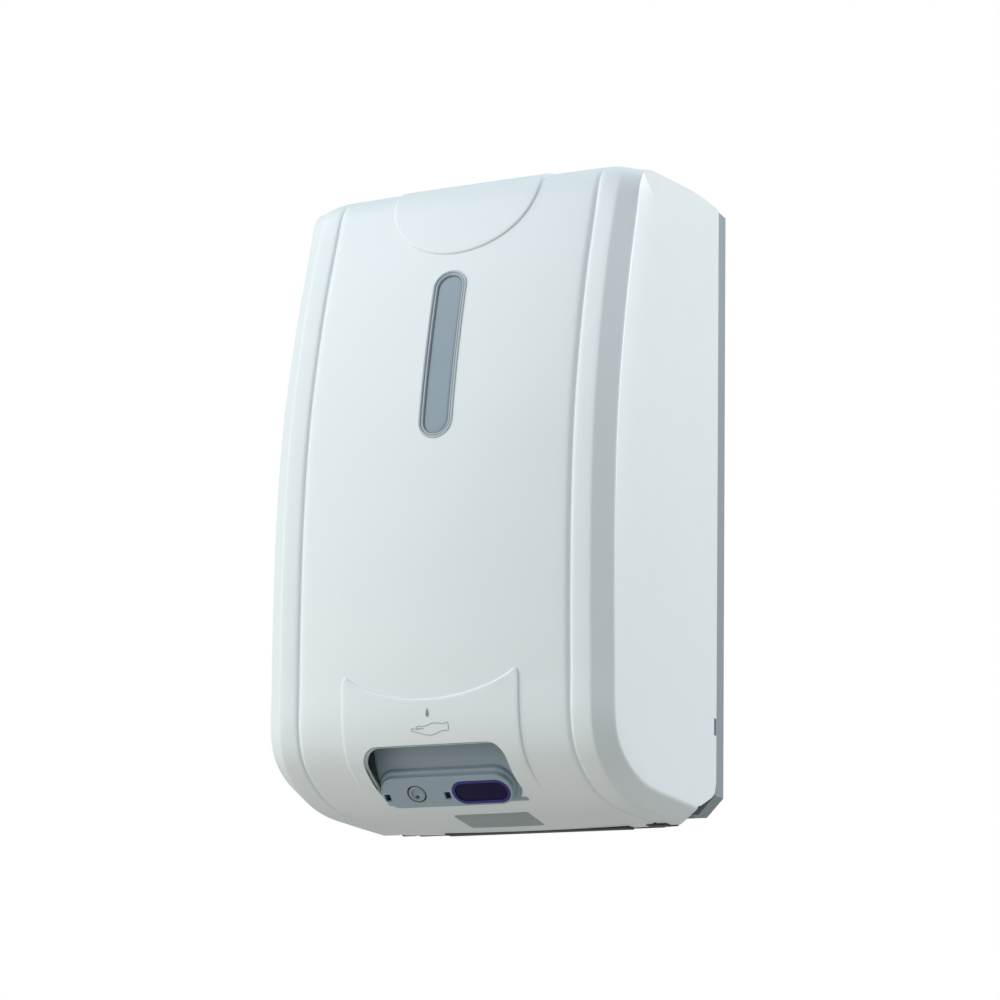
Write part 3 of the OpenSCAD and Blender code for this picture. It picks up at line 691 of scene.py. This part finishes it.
# %% The nozzle
nozzle_sleeve = flat_block("nozzle_sleeve", NOZZLE_X, NOZZLE_Y - 0.1, 7.3, 7.3, 0.1, -4.5,
                           3.64, 0.8)
cut(nozzle_sleeve, disc_cutter(NOZZLE_X + 0.3, NOZZLE_Y, 2.7, 3, -0.35, 40))
cut(nozzle_sleeve, disc_cutter(NOZZLE_X - 0.3, NOZZLE_Y - 1.7, 0.85, 3, -3.4, 24))
apply_modifier(nozzle_sleeve, "BEVEL", width=0.18 * MM, segments=3, limit_method="ANGLE",
               angle_limit=np.radians(40))
set_in_face(nozzle_sleeve)
print("nozzle faces:", len(nozzle_sleeve.data.polygons))

# %% The sensor window and indicators
eye_rim = flat_block("eye_rim", EYE_X, EYE_Y, EYE_WIDTH - 0.1, EYE_HEIGHT - 0.1, 0.0, -3.5,
                     EYE_HEIGHT * 0.49, 0.35)
cut(eye_rim, flat_block("rim_cutter", EYE_X, EYE_Y, EYE_WIDTH - 2.6, EYE_HEIGHT - 2.6, 3, -0.9,
                        (EYE_HEIGHT - 2.6) * 0.49))
set_in_face(eye_rim)
eye_window = flat_block("eye_window", EYE_X, EYE_Y, EYE_WIDTH - 2.7, EYE_HEIGHT - 2.7, -0.45,
                        -3.0, (EYE_HEIGHT - 2.7) * 0.49, 0.3)
set_in_face(eye_window)
indicator_lenses = []
for x in INDICATOR_X:
    lens = flat_block("indicator_lens", x, INDICATOR_Y, 2.6, 3.5, -1.1, -3.8, 0.2, 0.15)
    indicator_lenses.append(set_in_face(lens))
pick(indicator_lenses[0])
indicator_lenses[1].select_set(True)
bpy.ops.object.join()
indicators = bpy.context.object
indicators.name = indicators.data.name = "indicators"
print("sensor window:", EYE_WIDTH, "x", EYE_HEIGHT, "mm")

# %% [markdown]
# ## Softened frame parts
# A moulded part never has a knife edge. The parts that show when the cover is shut or
# swung open are copied from the frame, their doubled points merged, and their edges
# bevelled a little, and each copy stands for its frame part.

# %% Bevel copies of frame parts
def soften(node, width):
    source = frame["nodes"][node]
    copy = source.copy()
    copy.data = source.data.copy()
    copy.name = copy.data.name = node + "_soft"
    bpy.context.scene.collection.objects.link(copy)
    pick(copy)
    bpy.ops.object.mode_set(mode="EDIT")
    bpy.ops.mesh.select_all(action="SELECT")
    bpy.ops.mesh.remove_doubles(threshold=0.001 * MM)
    bpy.ops.mesh.dissolve_limited(angle_limit=np.radians(1.5))
    bpy.ops.object.mode_set(mode="OBJECT")
    apply_modifier(copy, "BEVEL", width=width * MM, segments=3, limit_method="ANGLE",
                   angle_limit=np.radians(40), use_clamp_overlap=True)
    bpy.ops.object.shade_smooth_by_angle(angle=np.radians(50))
    return apply_modifier(copy, "WEIGHTED_NORMAL", keep_sharp=True)


SOFT_EDGES = {"back_plate": 0.8, "lower_deck": 0.4, "tank_lid": 0.4, "battery_door": 0.4,
              "lock_body": 0.25, "cover_hinges": 0.3, "soap_tank": 0.7, "battery_box": 0.4,
              "control_panel": 0.4, "lock_strike": 0.3}
softened = {node: soften(node, width) for node, width in SOFT_EDGES.items()}
print("softened:", ", ".join(softened))

# %% [markdown]
# ## Finishes
# Every finish here is a plastic, rubber or metal with three layers of detail, all on
# Object coordinates so that they stay with the part: a broad, faint change of tone, a
# change of gloss at hand size, and a fine moulded grain that the light catches as a bump.

# %% A finish with tone, gloss and grain
def finish(name, colour, roughness, tone=0.03, gloss_change=0.05, grain=0.02, grain_mm=0.9,
           coat=0.0, metallic=0.0, transmission=0.0, ior=1.49, stretch=(1, 1, 1),
           subsurface=0.0):
    material = bpy.data.materials.new(name)
    material.use_nodes = True
    nodes, links = material.node_tree.nodes, material.node_tree.links
    shader = nodes["Principled BSDF"]
    shader.inputs["Metallic"].default_value = metallic
    shader.inputs["IOR"].default_value = ior
    shader.inputs["Coat Weight"].default_value = coat
    shader.inputs["Coat Roughness"].default_value = 0.12
    shader.inputs["Transmission Weight"].default_value = transmission
    shader.inputs["Subsurface Weight"].default_value = subsurface
    shader.inputs["Subsurface Radius"].default_value = (0.004, 0.004, 0.004)
    place = nodes.new("ShaderNodeTexCoord")
    mapping = nodes.new("ShaderNodeMapping")
    mapping.inputs["Scale"].default_value = stretch
    links.new(place.outputs["Object"], mapping.inputs["Vector"])

    def noise(scale, detail):
        node = nodes.new("ShaderNodeTexNoise")
        node.inputs["Scale"].default_value = scale
        node.inputs["Detail"].default_value = detail
        links.new(mapping.outputs["Vector"], node.inputs["Vector"])
        return node.outputs["Fac"]

    broad, hand, fine = noise(14, 2), noise(75, 4), noise(1000 / grain_mm, 2)
    mix = nodes.new("ShaderNodeMix")
    mix.data_type = "RGBA"
    mix.inputs["A"].default_value = (*[c * (1 - tone) for c in colour], 1)
    mix.inputs["B"].default_value = (*[min(1, c * (1 + tone)) for c in colour], 1)
    links.new(broad, mix.inputs["Factor"])
    links.new(mix.outputs["Result"], shader.inputs["Base Color"])
    gloss = nodes.new("ShaderNodeMapRange")
    gloss.inputs["To Min"].default_value = max(0.02, roughness - gloss_change)
    gloss.inputs["To Max"].default_value = min(1.0, roughness + gloss_change)
    links.new(hand, gloss.inputs["Value"])
    links.new(gloss.outputs["Result"], shader.inputs["Roughness"])
    bump = nodes.new("ShaderNodeBump")
    bump.inputs["Strength"].default_value = grain
    bump.inputs["Distance"].default_value = 0.0002
    links.new(fine, bump.inputs["Height"])
    links.new(bump.outputs["Normal"], shader.inputs["Normal"])
    return material


FINISHES = {
    "cover_white": finish("gloss white moulding", (0.835, 0.87, 0.872), 0.34, 0.012, 0.05, 0.03,
                          1.1, coat=0.08, subsurface=0.02),
    "grey_plastic": finish("blue grey moulding", (0.27, 0.32, 0.34), 0.42, 0.05, 0.07, 0.1),
    "nose_grey": finish("satin grey moulding", (0.315, 0.395, 0.445), 0.36, 0.05, 0.06, 0.06,
                        0.7),
    "dark_plastic": finish("dark moulding", (0.07, 0.08, 0.095), 0.5, 0.08, 0.08, 0.16),
    "black_plastic": finish("black moulding", (0.012, 0.012, 0.014), 0.45, 0.2, 0.1, 0.15),
    "light_plastic": finish("acetal", (0.6, 0.63, 0.65), 0.38, 0.03, 0.05, 0.05),
    "clear_plastic": finish("frosted tank", (0.8, 0.86, 0.88), 0.4, 0.03, 0.06, 0.06, 1.5,
                            transmission=0.25, subsurface=0.2),
    "window_clear": finish("tinted acrylic", (0.21, 0.28, 0.34), 0.22, 0.1, 0.08, 0.05, 2.0,
                           coat=0.4),
    "dark_window": finish("infrared window", (0.010, 0.005, 0.045), 0.3, 0.3, 0.08, 0.05,
                          2.0, ior=1.25),
    "silicone": finish("silicone hose", (0.74, 0.72, 0.64), 0.5, 0.05, 0.08, 0.1,
                       subsurface=0.2),
    "valve_rubber": finish("soft valve", (0.02, 0.02, 0.022), 0.6, 0.15, 0.08, 0.12),
    "board_green": finish("circuit board", (0.012, 0.09, 0.035), 0.34, 0.25, 0.1, 0.2, 0.5),
    "cell_sleeve": finish("cell sleeve", (0.03, 0.07, 0.2), 0.3, 0.08, 0.06, 0.05),
    "contact_metal": finish("nickel spring", (0.62, 0.61, 0.58), 0.25, 0.06, 0.1, 0.08, 0.4,
                            metallic=1.0),
    "motor_steel": finish("zinc can", (0.55, 0.56, 0.58), 0.36, 0.08, 0.12, 0.15, 0.6,
                          metallic=1.0, stretch=(1, 0.1, 1)),
    "screw_steel": finish("screw steel", (0.5, 0.5, 0.52), 0.3, 0.08, 0.1, 0.1, 0.4,
                          metallic=1.0),
    "brass_gear": finish("brass", (0.62, 0.42, 0.16), 0.3, 0.08, 0.1, 0.1, 0.5, metallic=1.0),
    "roller_blue": finish("acetal roller", (0.06, 0.16, 0.3), 0.35, 0.05, 0.05, 0.05),
    "print_grey": finish("grey ink", (0.25, 0.29, 0.32), 0.5, 0.12, 0.1, 0.1, 0.3),
    "label_silver": finish("silver sticker", (0.36, 0.38, 0.39), 0.33, 0.1, 0.08, 0.12, 0.4,
                           metallic=0.55, stretch=(1, 8, 1)),
}
surround_grey = finish("grey window frame", (0.5, 0.54, 0.56), 0.36, 0.05, 0.06, 0.05)
rim_violet = finish("violet window rim", (0.05, 0.035, 0.2), 0.25, 0.15, 0.05, 0.03, ior=1.35)
pale_ink = finish("pale grey ink", (0.42, 0.45, 0.46), 0.5, 0.1, 0.1, 0.1, 0.3)
nozzle_grey = finish("nozzle sleeve grey", (0.3, 0.36, 0.39), 0.28, 0.05, 0.06, 0.05)
print(len(FINISHES), "finishes")

# %% [markdown]
# Each frame part names its finish in the record, so the finishes are given out by that
# name. Pieces made here take the finish of a slot or one given to them, name the body they
# move with, and hide the frame part they replace.

# %% Give out the finishes
PART_SLOTS = {part["node"]: part["material_slot"] for part in frame["record"]["subparts"]
              if "material_slot" in part}
for node, slot_name in PART_SLOTS.items():
    if slot_name in FINISHES:
        frame["nodes"][node].data.materials.clear()
        frame["nodes"][node].data.materials.append(FINISHES[slot_name])
print("painted", len(PART_SLOTS), "frame parts")


def set_up(piece, body, slot_name, *nodes, material=None):
    piece.data.materials.clear()
    piece.data.materials.append(material or FINISHES[slot_name])
    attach(piece, body)
    if nodes:
        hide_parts(*nodes)


set_up(shell, "cover", "cover_white", "front_cover")
set_up(top_tab, "cover", "cover_white")
set_up(lower_panel, "cover", "cover_white")
set_up(window_surround, "cover", "grey_plastic", "window_frame", material=surround_grey)
set_up(level_lens, "cover", "window_clear", "window_lens")
set_up(hand_sign, "cover", "print_grey", "hand_mark", material=pale_ink)
set_up(sign_drop, "cover", "print_grey")
set_up(blank_label, "cover", "label_silver", "rating_plate")
set_up(nose_wall, "chassis", "nose_grey", "sensor_housing")
set_up(nose_arm, "chassis", "nose_grey")
set_up(face_plate, "chassis", "nose_grey")
set_up(face_base, "chassis", "nose_grey")
set_up(nozzle_sleeve, "chassis", "light_plastic", "nozzle", "nozzle_tip", material=nozzle_grey)
set_up(side_slot, "cover", "black_plastic")
set_up(hinge_strip, "cover", "black_plastic")
set_up(hinge_pad, "cover", "black_plastic")
set_up(eye_rim, "chassis", "dark_window", material=rim_violet)
set_up(eye_window, "chassis", "dark_window", "sensor_window")
set_up(indicators, "chassis", "dark_window", "status_lenses")
for node, piece in softened.items():
    body = body_of(frame["nodes"][node])[0]
    set_up(piece, body, PART_SLOTS[node], node)

# %% [markdown]
# ## Studio
# A plain pale floor lies well below, out of sight when looking up at the dispenser. The
# room is soft and slightly blue from above. A large light stands at the upper left and a
# second one to the right, so the chamfer between the front and the side stays darker. A
# weak warm one low on the left lifts the lower corner.

# %% Floor and room light
clear_selection()
bpy.ops.mesh.primitive_plane_add(size=60, location=(0, 0, -1.5))
floor = bpy.context.object
floor.name = "floor"
floor.data.materials.append(finish("pale floor", (0.56, 0.51, 0.46), 0.6))

world = bpy.data.worlds.new("studio")
bpy.context.scene.world = world
world.use_nodes = True
nodes, links = world.node_tree.nodes, world.node_tree.links
nodes.clear()
output = nodes.new("ShaderNodeOutputWorld")
room, backdrop = nodes.new("ShaderNodeBackground"), nodes.new("ShaderNodeBackground")
seen = nodes.new("ShaderNodeMixShader")
path = nodes.new("ShaderNodeLightPath")
place = nodes.new("ShaderNodeTexCoord")
split = nodes.new("ShaderNodeSeparateXYZ")
sky = nodes.new("ShaderNodeValToRGB")
level = nodes.new("ShaderNodeMapRange")
level.inputs["From Min"].default_value = -1
links.new(place.outputs["Generated"], split.inputs["Vector"])
links.new(split.outputs["Z"], level.inputs["Value"])
links.new(level.outputs["Result"], sky.inputs["Fac"])
sky.color_ramp.elements[0].color = (0.26, 0.22, 0.19, 1)
sky.color_ramp.elements[1].color = (0.70, 0.87, 1.0, 1)
sky.color_ramp.elements.new(0.42).color = (0.60, 0.59, 0.57, 1)
links.new(sky.outputs["Color"], room.inputs["Color"])
room.inputs["Strength"].default_value = 0.73
backdrop.inputs["Color"].default_value = (1, 1, 1, 1)
links.new(path.outputs["Is Camera Ray"], seen.inputs["Fac"])
links.new(room.outputs["Background"], seen.inputs[1])
links.new(backdrop.outputs["Background"], seen.inputs[2])
links.new(seen.outputs["Shader"], output.inputs["Surface"])
bpy.context.scene.view_settings.view_transform = "Standard"


# %% Soft lights
def soft_light(name, place, target, size, power, colour):
    light = bpy.data.lights.new(name, "AREA")
    light.shape, light.size, light.energy, light.color = "SQUARE", size, power, colour
    holder = bpy.data.objects.new(name, light)
    bpy.context.scene.collection.objects.link(holder)
    holder.location = place
    aim = Vector(target) - Vector(place)
    holder.rotation_euler = aim.to_track_quat("-Z", "Y").to_euler()


soft_light("key", (-1.75, -1.45, 1.25), (0, -0.1, 0.02), 2.6, 42, (0.93, 0.985, 1.0))
soft_light("side", (1.5, 1.0, 1.0), (0.05, -0.05, 0.02), 1.1, 27, (0.96, 0.99, 1.0))
soft_light("fill", (-1.7, -1.4, -0.45), (0, -0.1, -0.08), 1.4, 9, (1.0, 0.93, 0.84))

# %% [markdown]
# The camera looks up at the dispenser from below and from its right, with a long lens, so
# the front, the side and the nose all show.

# %% Camera
turn, tilt, roll = np.radians((25.5, 14.0, 1.35))
forward = Vector((-np.sin(turn) * np.cos(tilt), np.cos(turn) * np.cos(tilt), np.sin(tilt)))
across = Vector((np.cos(turn), np.sin(turn), 0))
upward = across.cross(forward)
across, upward = (np.cos(roll) * across + np.sin(roll) * upward,
                  np.cos(roll) * upward - np.sin(roll) * across)
camera = bpy.data.objects.new("camera", bpy.data.cameras.new("camera"))
bpy.context.scene.collection.objects.link(camera)
camera.data.lens, camera.data.sensor_width = 102.6, 36
facing = Matrix((across, upward, -forward)).transposed()
camera.matrix_world = Matrix.Translation((0.5126, -1.1420, -0.2978)) @ facing.to_4x4()
bpy.context.scene.camera = camera
print("camera lens", camera.data.lens, "mm")
